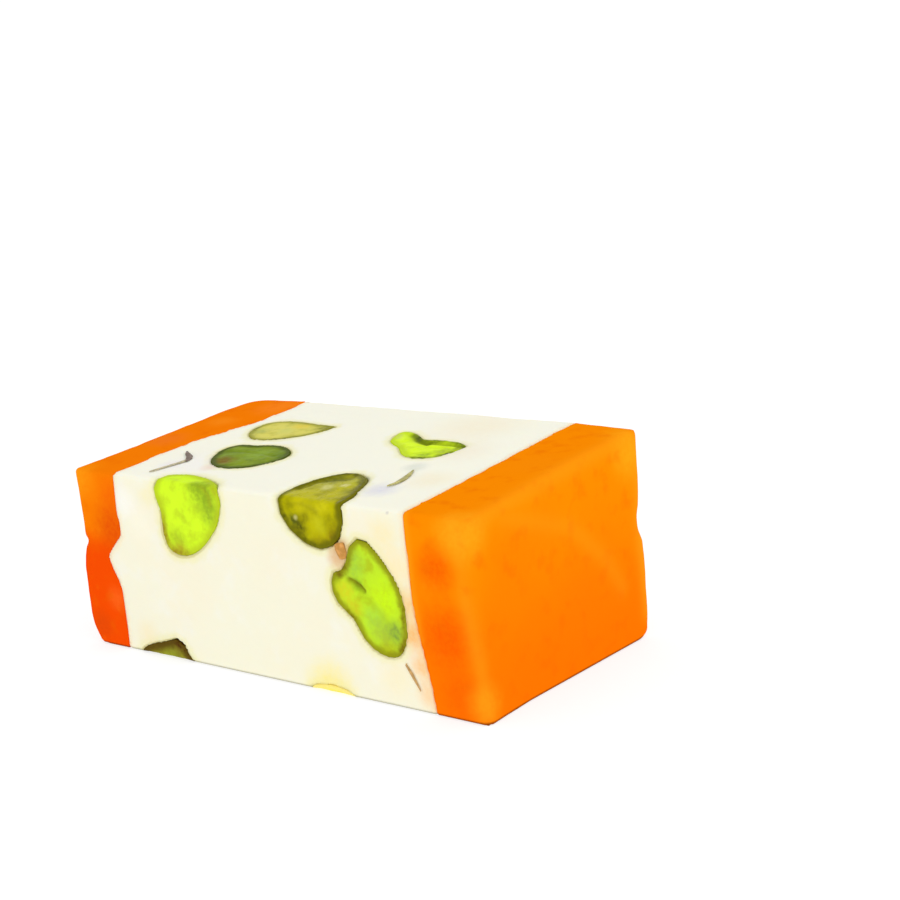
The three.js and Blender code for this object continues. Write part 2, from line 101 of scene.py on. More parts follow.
# What shows on each cut kernel: its main colour, a deeper one towards its skin, and the skin itself
# as a rim, whose width is in millimetres. "rim_share" is how strongly the rim shows all round, and
# "rims" are the spots (x, y, z, reach) where it shows in full. A spot of colour is (x, y, z, reach,
# colour, strength) and a groove is (path, width, depth). All are in millimetres of the bar.
KERNELS = {
    "front_left": dict(
        slot="pistachio_lime", flesh="#d3f928", deep="#b9d324", rim="#9a8420",
        rim_width=0.6, rim_share=0.15, rough=0.5,
        rims=[(-14.6, FRONT, 15, 3.4), (-12.8, FRONT, 12.6, 2.8)],
        spots=[
            (-8, FRONT, 20, 2.6, "#9cbc26", 0.95), (-6.9, FRONT, 18, 2, "#90ae28", 0.9),
            (-7.4, FRONT, 20, 1.7, "#88a622", 0.6), (-9.4, FRONT, 21.2, 1.5, "#88a622", 0.8),
            (-7.6, -14.9, 21.8, 1.6, "#7a961e", 0.8), (-12.8, FRONT, 14.4, 2, "#aecb26", 0.95),
            (-12.6, FRONT, 12.8, 1.7, "#bd9c28", 0.85), (-15.2, FRONT, 18.6, 1.3, "#b9cd28", 0.6),
        ],
        grooves=[
            ([(-9.4, FRONT, 21.9), (-8, FRONT, 21.1), (-7.2, FRONT, 20.2), (-7, FRONT, 19.2)],
             0.45, 0.14),
            ([(-8.1, -15.3, 22), (-6.6, FRONT, 21.6), (-6.1, FRONT, 20.6)], 0.4, 0.12),
            ([(-13.6, FRONT, 15.2), (-12.2, FRONT, 14.2), (-11.4, FRONT, 12.8)], 0.5, 0.05),
        ],
    ),
    "edge_middle": dict(
        slot="pistachio_olive", flesh="#bcb604", deep="#979204", rim="#55540a",
        rim_width=0.65, rim_share=0.7, rough=0.3,
        rims=[(4.6, FRONT, 19.6, 3), (7, FRONT, 16.8, 3), (6, -7.4, 22, 4), (9.6, -9.6, 22, 3)],
        # Painted light: the near-white spots at (5.7, 19.3) on the front and at (6.9, -11.4) and
        # (8.6, -10.4) on the top are painted glints, and the yellow spot on the front ridge at
        # (7.6, 20.4) is a painted highlight.
        spots=[
            (6.4, -9.6, 22, 3.6, "#aaa834", 0.8), (5.4, -8.6, 22, 2.2, "#687012", 0.9),
            (9.3, -8.6, 22, 1.9, "#b4b624", 0.9), (10.6, -11.8, 22, 1.6, "#72760f", 0.85),
            (6.9, -11.4, 22, 1, "#dcd88c", 0.9), (8.6, -10.4, 22, 0.7, "#e2dd96", 0.9),
            (7.6, FRONT, 20.4, 1.8, "#c0ba14", 0.8), (9.2, FRONT, 18.8, 1.4, "#c4c21c", 0.9),
            (6, FRONT, 18, 1.7, "#4e4e0c", 1), (5.3, FRONT, 18.9, 1, "#4c5418", 0.9),
            (5.7, FRONT, 19.3, 0.36, "#d2cc84", 0.9), (8.8, FRONT, 16.8, 1.6, "#9a8e0e", 0.85),
            (11.4, FRONT, 17.6, 1.6, "#7a380c", 1), (10.6, FRONT, 19, 1.5, "#8c8704", 0.8),
            (7, FRONT, 19.5, 0.9, "#767106", 0.8), (9.6, FRONT, 21.1, 1.2, "#d2cb1a", 0.8),
            (6.3, FRONT, 20.9, 1.3, "#cfc614", 0.6),
        ],
        grooves=[
            ([(4.6, FRONT, 20.6), (6.6, FRONT, 20.9), (8.6, FRONT, 20.2)], 0.5, 0.1),
            ([(3.7, -12.2, 21.8), (4.2, -10, 21.9), (5.4, -8.9, 22), (7.2, -8, 22.1)], 1.1, 0.24),
        ],
    ),
    "front_right": dict(
        slot="pistachio_lime", flesh="#bfe62a", deep="#aebc1c", rim="#77690f",
        rim_width=0.62, rim_share=0.6, rough=0.42,
        rims=[
            (11.8, FRONT, 14, 2.4), (18.8, FRONT, 10.4, 3.2), (18.8, FRONT, 7, 2.4),
            (13.2, FRONT, 9.8, 2.6),
        ],
        spots=[
            (11.6, FRONT, 12, 2, "#d2d424", 0.95), (13, FRONT, 10.2, 1.3, "#cfc622", 0.8),
            (12.9, FRONT, 15.2, 2.4, "#a3ce40", 0.95), (11.2, FRONT, 14.8, 1.3, "#46540f", 1),
            (12, FRONT, 15.6, 1, "#55660f", 0.9), (10.5, FRONT, 13.7, 1.1, "#66700f", 0.9),
            (17.2, FRONT, 12, 2.8, "#caf41a", 0.95), (15.6, FRONT, 9.4, 1.9, "#a6d848", 0.7),
            (18.2, FRONT, 8.3, 1.7, "#789440", 0.95), (17.3, FRONT, 6.2, 1.7, "#aeb414", 0.9),
            (16.4, FRONT, 8, 1.8, "#a8c23a", 0.8), (13.6, FRONT, 12.9, 1, "#6c9420", 0.8),
        ],
        grooves=[
            ([(12.4, FRONT, 13.3), (13.1, FRONT, 13.1), (13.8, FRONT, 12.8), (14.4, FRONT, 12.3)],
             0.42, 0.36),
            ([(14.4, FRONT, 12.3), (14.8, FRONT, 11.7), (15.9, FRONT, 10.7), (17.2, FRONT, 9.5)],
             0.6, 0.07),
        ],
    ),
    "foot_left": dict(
        slot="pistachio_olive", flesh="#9a9628", deep="#767020", rim="#4c2a06",
        rim_width=0.95, rim_share=0.75, rough=0.5,
        rims=[(-14.4, FRONT, 1.6, 3)],
        spots=[(-14.7, FRONT, 2, 1.3, "#6a4416", 0.8), (-16.2, FRONT, 0.4, 1.9, "#98a02c", 0.8)],
    ),
    "foot_right": dict(
        slot="pistachio_pale", flesh="#ffee54", deep="#ffea62", rim="#fbe88a",
        rim_width=0.5, rim_share=0.8, rough=0.55,
        spots=[(9.6, FRONT, 0.4, 1.5, "#ffe048", 0.8)],
    ),
    "top_left": dict(
        slot="pistachio_dark", flesh="#80960a", deep="#617614", rim="#424c0c",
        rim_width=0.6, rim_share=0.8, rough=0.42,
        rims=[(-13.6, -6.6, 22, 2.8), (-8, -3, 22, 3.4)],
        spots=[
            (-13, -5.2, 22, 2.2, "#749026", 0.8), (-12.4, -7.6, 22, 2, "#7a4a14", 1),
            (-15.8, -3.4, 22, 1.2, "#4a4a12", 0.9), (-6.4, -4.2, 22, 1.3, "#55701a", 0.8),
            (-9.8, -4.4, 22, 2.2, "#8fac38", 0.8), (-7.6, -3, 22, 1.4, "#6a8424", 0.8),
        ],
        grooves=[([(-14.2, -4.6, 22), (-11, -4, 22), (-7.4, -4.4, 22)], 0.5, 0.08)],
    ),
    "top_left_back": dict(
        slot="pistachio_pale", flesh="#dad262", deep="#bfba4c", rim="#74762a",
        rim_width=0.5, rim_share=0.55, rough=0.5,
        rims=[(-11.6, 1.8, 22.2, 4.6), (-8.6, 5.6, 22.5, 2.6), (-17.4, 4, 22.3, 1.8)],
        spots=[
            (-9, 6.3, 22.5, 1.6, "#6e731c", 0.9), (-12.4, 6.2, 22.4, 1.6, "#e4ca40", 0.8),
            (-16.6, 3, 22.2, 1.6, "#a3b056", 0.8), (-13.2, 3.9, 22.3, 1.5, "#ced070", 0.7),
        ],
    ),
    "top_right": dict(
        slot="pistachio_lime", flesh="#dcfb22", deep="#c6e21c", rim="#465008",
        rim_width=0.62, rim_share=0.1, rough=0.45,
        rims=[
            (6.2, 6, 22.7, 2), (8.6, 5.4, 22.8, 2.2), (12, 4.6, 22.8, 2.6), (12.6, 1.6, 22.8, 2),
            (10.4, 0, 22.6, 2),
        ],
        spots=[
            (13.2, 4.2, 22.8, 1.2, "#6e5a18", 0.95), (12, 2.4, 22.8, 1.5, "#93a818", 0.9),
            (10.4, 0.8, 22.6, 1.3, "#8fae16", 0.85), (2.4, 5.4, 22.4, 1.3, "#d8d890", 0.9),
        ],
        grooves=[
            ([(4.4, 6.5, 22.7), (5.9, 5.4, 22.7), (7, 4.7, 22.8), (8.2, 4.4, 22.8)], 0.75, 0.35),
            ([(8.2, 4.4, 22.8), (10, 4.7, 22.8), (11.8, 4.6, 22.8), (13.2, 4.2, 22.8)], 0.5, 0.24),
            ([(7.4, 3.4, 22.7), (9.6, 3.2, 22.8), (11.6, 3.6, 22.8)], 0.5, 0.05),
        ],
    ),
    "back_right": dict(
        slot="pistachio_lime", flesh="#c4e62c", deep="#a4c41e", rim="#6f6a14",
        rim_width=0.5, rim_share=0.45, rough=0.45,
        rims=[(13.4, BACK, 18.8, 3), (9.8, BACK, 10.6, 2.6)],
        spots=[
            (10.6, BACK, 11.6, 2.2, "#a2c83c", 0.8), (13.6, BACK, 17.6, 1.8, "#93aa22", 0.8),
            (11.4, BACK, 14.8, 1.8, "#d2ee24", 0.8), (14.2, BACK, 15.4, 1.5, "#8fb42a", 0.9),
            (9.4, BACK, 13.4, 1.3, "#b8a424", 0.8), (12.2, BACK, 18.6, 1.4, "#7c951e", 0.8),
        ],
        grooves=[
            ([(10.6, BACK, 12.4), (11.4, BACK, 13.7), (12.6, BACK, 14.8), (13.1, BACK, 16.4)],
             0.4, 0.3),
            ([(13.1, BACK, 16.4), (13, BACK, 17.6)], 0.6, 0.08),
        ],
    ),
    "back_middle": dict(
        slot="pistachio_olive", flesh="#aeb41c", deep="#8c9112", rim="#50500e",
        rim_width=0.55, rim_share=0.6, rough=0.34,
        rims=[(-4.8, BACK, 7, 3), (4, BACK, 10.6, 3)],
        spots=[
            (-3.2, BACK, 6.3, 1.9, "#c9c626", 0.8), (2.9, BACK, 9.8, 1.7, "#6c7012", 0.85),
            (0.4, BACK, 7.6, 1.8, "#c6c41e", 0.8), (-5, BACK, 7.6, 1.5, "#7c5418", 0.8),
            (-1.6, BACK, 9.6, 1.7, "#8a8c18", 0.8),
        ],
        grooves=[
            ([(-3, BACK, 6.4), (-1.4, BACK, 7.6), (0.4, BACK, 7.9), (1.6, BACK, 9)], 0.45, 0.26),
            ([(1.6, BACK, 9), (3.4, BACK, 9.6)], 0.7, 0.07),
        ],
    ),
    "back_left": dict(
        slot="pistachio_lime", flesh="#cbee30", deep="#aecd20", rim="#7c741a",
        rim_width=0.32, rim_share=0.4, rough=0.48,
        rims=[(-16.4, BACK, 15.2, 3)],
        spots=[
            (-15.4, BACK, 16.8, 2.2, "#94ae24", 0.9), (-11.6, BACK, 14.8, 1.8, "#dcf03a", 0.8),
            (-16.4, BACK, 14.2, 1.6, "#b09a2c", 0.9), (-13, BACK, 18.2, 1.6, "#c8d422", 0.8),
        ],
        grooves=[([(-15, BACK, 15), (-13.8, BACK, 15.9), (-12.6, BACK, 15.7)], 0.45, 0.16)],
    ),
    "back_low": dict(
        slot="pistachio_dark", flesh="#8ea92e", deep="#6d8720", rim="#475810",
        rim_width=0.4, rim_share=0.7, rough=0.42,
        rims=[(-13, BACK, 2.6, 3)],
        spots=[(-15.6, BACK, 5.8, 1.4, "#9fb940", 0.7), (-12.2, BACK, 3.4, 1.3, "#748c2e", 0.7)],
    ),
    "under_right": dict(
        slot="pistachio_lime", flesh="#c2e634", deep="#a3c622", rim="#6f6c14",
        rim_width=0.36, rim_share=0.6, rough=0.48,
        rims=[(9, 1.6, 0, 3)],
        spots=[(9.2, 2.6, 0, 2, "#d6ea30", 0.8), (14.4, 6.2, 0, 1.8, "#9fc03c", 0.8)],
        grooves=[([(9, 2.2, 0), (10.6, 3.8, 0), (12.6, 4.6, 0), (13.8, 6.2, 0)], 0.4, 0.28)],
    ),
    "under_left": dict(
        slot="pistachio_olive", flesh="#a9b52a", deep="#88931a", rim="#55560f",
        rim_width=0.4, rim_share=0.7, rough=0.45,
        rims=[(-11, 10.4, 0, 3)],
        spots=[(-11.4, 9.6, 0, 1.8, "#c3c838", 0.7), (-7.2, 5.4, 0, 1.6, "#737d1a", 0.8)],
    ),
}

# Stains in the nougat, as spots: where skin, kernels and fruit lie close below its surface
NOUGAT_STAINS = [
    (13.4, -10.2, 21.9, 2.6, "#d9d8e4", 0.8), (12.2, -3, 22.2, 1.8, "#d6dacd", 0.7),
    (-17.6, -10.2, 21.5, 1.8, "#e6dde2", 0.7), (11.7, FRONT, 16.3, 1.9, "#d39c58", 1),
    (19.2, FRONT, 15.4, 2.8, "#fbe7b6", 0.8), (20.2, FRONT, 11.6, 2.4, "#f8cf8e", 0.95),
    (20.9, FRONT, 8.4, 2.2, "#f8bf78", 1), (21.6, FRONT, 5.2, 2.2, "#f9c98e", 0.95),
    (22.2, FRONT, 2.2, 2, "#f9d3a2", 0.9), (8.4, FRONT, 0.4, 4, "#f9ea96", 1),
    (-19.4, FRONT, 2.4, 2.2, "#f5e7bc", 0.6), (-16.8, FRONT, 19.2, 1.8, "#f4ecbc", 0.7),
    (17.6, FRONT, 18.8, 2.6, "#f6e8b4", 0.7), (10, 11, 23.2, 7, "#f7eed4", 0.9),
    (14, 3, 22.8, 4.6, "#f6edd6", 0.8), (-15, -10, 21.6, 5, "#f4f1ec", 0.7),
    (11, FRONT, 15.4, 1.6, "#e2bd90", 0.9), (-12.2, -9.9, 21.6, 1.4, "#eed6c6", 0.7),
    (18.5, FRONT, 21.4, 0.35, "#a6a2ae", 0.9), (16.8, -6, 22.2, 3.4, "#f7eed2", 0.9),
    (17.8, FRONT, 3.4, 3, "#f6ecc6", 0.7), (-18.6, FRONT, 15.6, 2.6, "#f7f3de", 0.8),
    (-21, FRONT, 18, 2.4, "#f8f6ee", 0.8), (-4, BACK, 17, 2.4, "#f4ecca", 0.5),
    (20.6, BACK, 8, 2.4, "#f8cf96", 0.9), (20.2, BACK, 14, 2.4, "#fae0ae", 0.8),
]

# What shows on each layer of fruit paste: its colour turns from lower to upper between two heights,
# wandering by some millimetres. Spots are as above; a streak of painted highlight, paler paste
# along lit edges, where they are thin and lit through, and in a lit band across the right end
# face, is (path, width, share).
LAYERS = {
    "apricot_layer_left": dict(
        slot="apricot_paste_deep", lower="left_lower", upper="left_upper",
        heights=(10.8, 15), wander=3,
        spots=[
            (-23, FRONT, 14.6, 3.8, "#e24e08", 0.9), (-22.6, FRONT, 18.4, 2.8, "#f36408", 0.7),
            (-28.4, FRONT, 20.2, 3.4, "#fb9812", 0.8), (-26, -3, 22, 3.2, "#ef7626", 0.6),
            (-21.8, 12, 22.4, 3.8, "#fc8622", 0.8), (-24.6, 5, 22.2, 2.4, "#fb8e1c", 0.6),
            (-24, FRONT, 6, 1.8, "#f9661c", 0.8), (-27, FRONT, 2.4, 2.2, "#d6480c", 0.6),
        ],
        # Painted highlight along the front left edge
        streaks=[([(-29, -15.3, 20.6), (-28.8, -15.3, 14.2)], 1, 0.45)],
    ),
    "apricot_layer_right": dict(
        slot="apricot_paste", lower="right_lower", upper="right_upper",
        heights=(2, 22), wander=5,
        # Painted light: the pale spots high on the front edge (27.6, 20), at the upper back corner
        # (28.8, 12.8) and low on the front corner (29, -14.8) are painted highlights, and the
        # darker spots at (29.3, -9, 16) and (29.3, -3, 17) are painted shade beside the lit band
        # across the end face.
        spots=[
            (24.4, FRONT, 16.2, 3, "#f46002", 0.9), (25.2, FRONT, 8.8, 4.4, "#f65c02", 0.92),
            (26.6, FRONT, 2.8, 3.6, "#f56203", 0.8), (27.6, FRONT, 20, 3.6, "#fea81a", 0.75),
            (28.8, 12.8, 21.6, 3.8, "#fea816", 0.75), (29, -14.8, 2.2, 2.6, "#fd9612", 0.7),
            (29.3, 2, 8, 6, "#f97703", 0.6), (25, 1, 22.6, 4.4, "#f88a08", 0.5),
            (29.3, -9, 16, 5.2, "#fa7c02", 0.65), (29.3, -3, 17, 4, "#fa7e02", 0.5),
        ],
        # Painted highlights along the front edge, the joint, the top and back edges of the end
        # face, and a band across it
        streaks=[
            ([(27, FRONT, 21.4), (27.6, FRONT, 17.5), (27.8, FRONT, 13.4)], 1.5, 0.22),
            ([(27.8, FRONT, 13.4), (28.4, -15.4, 9.2), (29.2, -15.2, 5), (29.2, -15, 1)],
             1.5, 0.33),
            ([(20.9, -15.4, 21.4), (20.9, FRONT, 14), (21.6, FRONT, 8)], 0.7, 0.4),
            ([(29, -14.5, 21.4), (29, 0, 22.7), (29, 13, 23.4)], 1.7, 0.32),
            ([(29, 14.9, 22.5), (28.9, 14.2, 12.4), (29, 14.8, 3)], 1.8, 0.55),
            ([(29.3, -10, 20.6), (29.3, 1.2, 16.4), (29.3, 7.4, 10.9), (29.3, 10, 7)], 1.6, 0.2),
        ],
    ),
}

# Torn slivers of skin in the cut faces: the face, the colour, and in millimetres the thickness,
# the path and the width at each of its points
SKINS = {
    "sliver_top_left": dict(
        face="top", tone="skin_pale", thick=0.14,
        path=[(-18.3, -13.3), (-17.9, -11.9), (-17.5, -10.6), (-17.2, -9.5), (-17.1, -8.6)],
        widths=[0.2, 0.45, 0.5, 0.55, 0.45],
    ),
    "sliver_top_left_hook": dict(
        face="top", tone="skin_grey", thick=0.16,
        path=[(-16.9, -8.9), (-17.2, -8.1), (-17.9, -7.3), (-18.9, -6.6), (-19.6, -6)],
        widths=[0.4, 0.75, 0.8, 0.6, 0.25],
    ),
    "sliver_top_right": dict(
        face="top", tone="skin_olive", thick=0.14,
        path=[(13.3, -9), (13.6, -7.9), (13.6, -6.8), (13.3, -5.5), (12.7, -3.9)],
        widths=[0.2, 0.5, 0.75, 0.6, 0.2],
    ),
    "sliver_front_right": dict(
        face="front", tone="skin_brown", thick=0.12,
        path=[(18.6, 6), (19.3, 5), (19.9, 4.2), (20.4, 3.4), (21, 2.4)],
        widths=[0.1, 0.24, 0.38, 0.3, 0.1],
    ),
    "flake_front_middle": dict(
        face="front", tone="skin_red", thick=0.16,
        path=[
            (11.2, 17.9), (11.4, 17.5), (11.5, 17.1), (11.6, 16.6), (11.8, 16.1), (11.9, 15.6),
            (12.1, 15.2),
        ],
        widths=[0.3, 0.8, 1.3, 1.5, 1.4, 1, 0.4],
    ),
}


# ---- sizes and colours ----


def length(name, description, millimetres, least=0.0):
    return FloatProperty(
        name=name, description=description, default=millimetres * MM, min=least * MM,
        subtype="DISTANCE", unit="LENGTH", precision=5,
    )


def colour(name, description, code):
    return FloatVectorProperty(
        name=name, description=description, default=tint(code), min=0.0, max=1.0, size=3,
        subtype="COLOR",
    )


class BarSizes(bpy.types.PropertyGroup):
    """Sizes of the skins and of their relief"""

    nougat_cell: length("Nougat cell", "Edge of a small face of the nougat's skin", 0.29, 0.1)
    fruit_cell: length("Fruit cell", "Edge of a small face of the fruit paste's skin", 0.26, 0.1)
    kernel_cell: length("Kernel cell", "Edge of a small face of a kernel's skin", 0.16, 0.1)
    nougat_relief: length("Nougat relief", "Depth of the soft waves that the knife leaves", 0.13)
    nougat_wave: length("Nougat wave", "Distance between those waves", 4.2, 0.1)
    fruit_relief: length("Fruit relief", "Depth of the dents in the fruit paste", 0.12)
    fruit_wave: length("Fruit wave", "Distance between those dents", 5.5, 0.1)
    kernel_relief: length("Kernel relief", "Depth of the unevenness of a kernel's cut", 0.12)
    kernel_wave: length("Kernel wave", "Distance between its rises", 1.9, 0.1)
    smoothing: IntProperty(
        name="Smoothing", description="How often each skin is evened out", default=3, min=0, max=20,
    )


class BarColours(bpy.types.PropertyGroup):
    """Colours of the nougat, the fruit paste, the skins and the stage"""

    nougat: colour("Nougat", "The body of the nougat", "#f2efd8")
    nougat_warm: colour("Warm nougat", "Its yellower clouds", "#f3eed6")
    nougat_cool: colour("Cool nougat", "Its paler clouds", "#f2f1e4")
    # Painted light: the paler, cooler tone that light from above gives the nougat's upward faces
    nougat_top_light: colour("Top of the nougat", "Painted paler, cooler light on its upper faces", "#f8f6e4")
    kernel_halo: colour("Kernel halo", "The nougat round a kernel", "#efe9a0")
    kernel_seam: colour("Kernel seam", "The nougat right beside a kernel", "#c3b85a")
    nougat_foot: colour("Nougat foot", "The shade along the foot of the nougat", "#8f8c72")
    fruit_halo: colour("Fruit halo", "The nougat beside the fruit paste", "#f8e0b0")
    left_upper: colour("Left fruit, upper", "The left layer above its crease", "#f67c05")
    left_lower: colour("Left fruit, lower", "The left layer below its crease", "#f14c04")
    right_upper: colour("Right fruit, upper", "The upper part of the right layer", "#fa8a02")
    right_lower: colour("Right fruit, lower", "The lower part of the right layer", "#f97402")
    # Painted highlights on the fruit's lit edges and across its end face, and also the real pale
    # grains of the paste
    fruit_highlight_and_grain: colour("Pale fruit", "Painted highlights on the fruit paste, and its pale grains", "#ffa21a")
    fruit_dark: colour("Dark fruit", "The denser clouds in the fruit paste", "#e86604")
    fruit_foot: colour("Fruit foot", "The shade along the foot of the fruit paste", "#7c3604")
    skin_grey: colour("Grey skin", "Dull skin on the left of the top", "#7a6c62")
    skin_pale: colour("Pale skin", "The thin end of that skin", "#aea586")
    skin_olive: colour("Olive skin", "Greenish skin on the right of the top", "#aaa362")
    skin_brown: colour("Brown skin", "Skin low on the front", "#c0965a")
    skin_red: colour("Red skin", "Skin between the two kernels on the front", "#c48a3e")
    floor: colour("Floor", "The surface under the bar", "#a0a0a0")
    floor_glow: FloatProperty(
        name="Floor glow", description="How strongly the lit table under the bar glows",
        default=0.72, min=0.0, max=1.0,
    )


# ---- shader nodes ----


def add(tree, kind, inputs=None, **settings):
    """Adds a node. An input is given a value, or the socket that feeds it."""
    made = tree.nodes.new(kind)
    for name, value in settings.items():
        setattr(made, name, value)
    for name, value in (inputs or {}).items():
        if isinstance(value, bpy.types.NodeSocket):
            tree.links.new(value, made.inputs[name])
        else:
            made.inputs[name].default_value = value
    return made


def maths(tree, operation, *values, clamped=False):
    inputs = dict(enumerate(values))
    made = add(tree, "ShaderNodeMath", inputs, operation=operation, use_clamp=clamped)
    return made.outputs[0]


def blend(tree, share, under, over):
    """Mixes two colours; each is a socket or a list of three."""
    made = add(tree, "ShaderNodeMix", {"Factor": share}, data_type="RGBA")
    for at, value in ((6, under), (7, over)):
        if isinstance(value, bpy.types.NodeSocket):
            tree.links.new(value, made.inputs[at])
        else:
            made.inputs[at].default_value = (*value, 1)
    return made.outputs[2]


def ramp(tree, value, start, end, low=0.0, high=1.0):
    """Takes a value from start..end to low..high, smoothly."""
    made = add(
        tree, "ShaderNodeMapRange",
        {"Value": value, "From Min": start, "From Max": end, "To Min": low, "To Max": high},
        interpolation_type="SMOOTHSTEP",
    )
    return made.outputs["Result"]


def waves(tree, size, detail=3.0):
    """Cloudy noise of a given size in metres, on the object's own coordinates."""
    place = add(tree, "ShaderNodeTexCoord").outputs["Object"]
    if isinstance(size, bpy.types.NodeSocket):
        scale = maths(tree, "DIVIDE", 1.0, size)
    else:
        scale = 1.0 / size
    made = add(tree, "ShaderNodeTexNoise", {"Vector": place, "Scale": scale, "Detail": detail})
    return made.outputs["Fac"]


def clouds(tree, size, detail, levels, share=1.0):
    """Cloudy noise that goes from 0 to a share between two levels of it."""
    return ramp(tree, waves(tree, size, detail), *levels, 0.0, share)


def shader_group(name, inputs, outputs):
    """A new node group and its inner sockets. An input is (name, default), an output a name."""
    group = bpy.data.node_groups.new(name, "ShaderNodeTree")
    for socket, default in inputs:
        kind = "NodeSocketFloat" if isinstance(default, float) else "NodeSocketVector"
        made = group.interface.new_socket(name=socket, in_out="INPUT", socket_type=kind)
        made.default_value = default
    for socket in outputs:
        group.interface.new_socket(name=socket, in_out="OUTPUT", socket_type="NodeSocketFloat")
    given = group.nodes.new("NodeGroupInput").outputs
    result = group.nodes.new("NodeGroupOutput").inputs
    return group, given, result


def spot_group():
    """A soft spot with a ragged border."""
    inputs = [("Centre", (0, 0, 0)), ("Reach", MM), ("Ragged", 0.8)]
    group, given, result = shader_group("ragged_spot", inputs, ["Mask"])
    place = add(group, "ShaderNodeTexCoord").outputs["Object"]
    away = add(group, "ShaderNodeVectorMath", {0: place, 1: given["Centre"]}, operation="DISTANCE")
    share = maths(group, "DIVIDE", away.outputs["Value"], given["Reach"])
    grain = maths(group, "SUBTRACT", waves(group, 0.9 * MM, 4.0), 0.5)
    ragged = maths(group, "MULTIPLY", grain, given["Ragged"])
    border = maths(group, "ADD", share, ragged)
    veins = maths(group, "MULTIPLY", clouds(group, 0.5 * MM, 3.0, (0.65, 0.35)), 0.6)
    missing = maths(group, "MULTIPLY", veins, given["Ragged"])
    body = ramp(group, border, 1.2, 0.1)
    mask = maths(group, "SUBTRACT", body, maths(group, "MULTIPLY", body, missing))
    group.links.new(mask, result["Mask"])
    return group


def band_group():
    """A band along a joint, from the distance to it in millimetres."""
    inputs = [("Distance", 0.0), ("Width", 0.5), ("Ragged", 0.5)]
    group, given, result = shader_group("joint_band", inputs, ["Mask"])
    grain = maths(group, "SUBTRACT", waves(group, 1.1 * MM, 3.0), 0.5)
    uneven = maths(group, "MULTIPLY_ADD", grain, given["Ragged"], 1.0)
    width = maths(group, "MULTIPLY", given["Width"], uneven)
    share = maths(group, "DIVIDE", given["Distance"], width)
    group.links.new(ramp(group, share, 1.0, 0.25), result["Mask"])
    return group


def grain_group():
    """Fine unevenness: a height for the surface and a shift for its gloss."""
    inputs = [("Size", 0.5 * MM), ("Gloss", 0.5), ("Spread", 0.1)]
    group, given, result = shader_group("fine_grain", inputs, ["Height", "Roughness"])
    coarse = waves(group, given["Size"], 4.0)
    fine = waves(group, maths(group, "MULTIPLY", given["Size"], 0.3), 2.0)
    height = maths(group, "ADD", coarse, maths(group, "MULTIPLY", fine, 0.4))
    group.links.new(height, result["Height"])
    shift = maths(group, "MULTIPLY", maths(group, "SUBTRACT", coarse, 0.5), given["Spread"])
    group.links.new(maths(group, "ADD", given["Gloss"], shift, clamped=True), result["Roughness"])
    return group


def fleck_group():
    """Scattered small grains."""
    inputs = [("Spacing", MM), ("Fill", 0.3), ("Share", 0.3)]
    group, given, result = shader_group("scattered_flecks", inputs, ["Mask"])
    place = add(group, "ShaderNodeTexCoord").outputs["Object"]
    scale = maths(group, "DIVIDE", 1.0, given["Spacing"])
    bend = add(group, "ShaderNodeTexNoise", {"Vector": place, "Scale": scale, "Detail": 2.0})
    bent = {0: bend.outputs["Color"], "Scale": 0.35 * MM}
    shift = add(group, "ShaderNodeVectorMath", bent, operation="SCALE")
    moved = add(group, "ShaderNodeVectorMath", {0: place, 1: shift.outputs[0]}, operation="ADD")
    cells = add(group, "ShaderNodeTexVoronoi", {"Vector": moved.outputs[0], "Scale": scale})
    full = maths(group, "MULTIPLY", given["Fill"], 0.4)
    grain = ramp(group, cells.outputs["Distance"], given["Fill"], full)
    pick = add(group, "ShaderNodeSeparateColor", {"Color": cells.outputs["Color"]}).outputs[0]
    chosen = maths(group, "LESS_THAN", pick, given["Share"])
    group.links.new(maths(group, "MULTIPLY", grain, chosen), result["Mask"])
    return group


def foot_group():
    """The narrow shade along the foot of the bar, where it meets the table."""
    inputs = [("Height", 0.3 * MM), ("Strength", 0.5)]
    group, given, result = shader_group("foot_shade", inputs, ["Mask"])
    place = add(group, "ShaderNodeTexCoord").outputs["Object"]
    above = add(group, "ShaderNodeSeparateXYZ", {"Vector": place}).outputs["Z"]
    shade = ramp(group, above, given["Height"], maths(group, "MULTIPLY", given["Height"], 0.3))
    group.links.new(maths(group, "MULTIPLY", shade, given["Strength"]), result["Mask"])
    return group


def use_group(tree, name, build, **values):
    """Places a group, built at its first use, and gives its inputs their values."""
    group = bpy.data.node_groups.get(name) or build()
    return add(tree, "ShaderNodeGroup", values, node_tree=group).outputs


def spot_mask(tree, place, reach, ragged):
    values = {"Centre": [MM * at for at in place], "Reach": reach * MM, "Ragged": ragged}
    return use_group(tree, "ragged_spot", spot_group, **values)["Mask"]


def band_mask(tree, distance, width, ragged):
    values = {"Distance": distance, "Width": width, "Ragged": ragged}
    return use_group(tree, "joint_band", band_group, **values)["Mask"]


def tinge(tree, base, tone, mask, strength):
    """Lays a tone over a colour where a mask shows."""
    return blend(tree, maths(tree, "MULTIPLY", mask, strength), base, tone)


def lay_spots(tree, base, spots, ragged):
    """Lays a list of spots over a colour."""
    for *place, reach, code, strength in spots:
        mask = spot_mask(tree, place, reach, ragged)
        base = tinge(tree, base, tint(code), mask, strength)
    return base


def shade_foot(tree, base, tone, strength):
    shade = use_group(tree, "foot_shade", foot_group, Height=FOOT_SHADE, Strength=strength)
    return blend(tree, shade["Mask"], base, tone)


def attribute(tree, name):
    return add(tree, "ShaderNodeAttribute", attribute_name=name).outputs["Fac"]


def new_finish(name, **constants):
    """A material and its shader, with the constant values on the shader's own sockets."""
    finish = bpy.data.materials.new(name)
    finish.use_nodes = True
    shader = finish.node_tree.nodes["Principled BSDF"]
    for socket, value in constants.items():
        shader.inputs[socket.replace("_", " ")].default_value = value
    return finish, finish.node_tree, shader


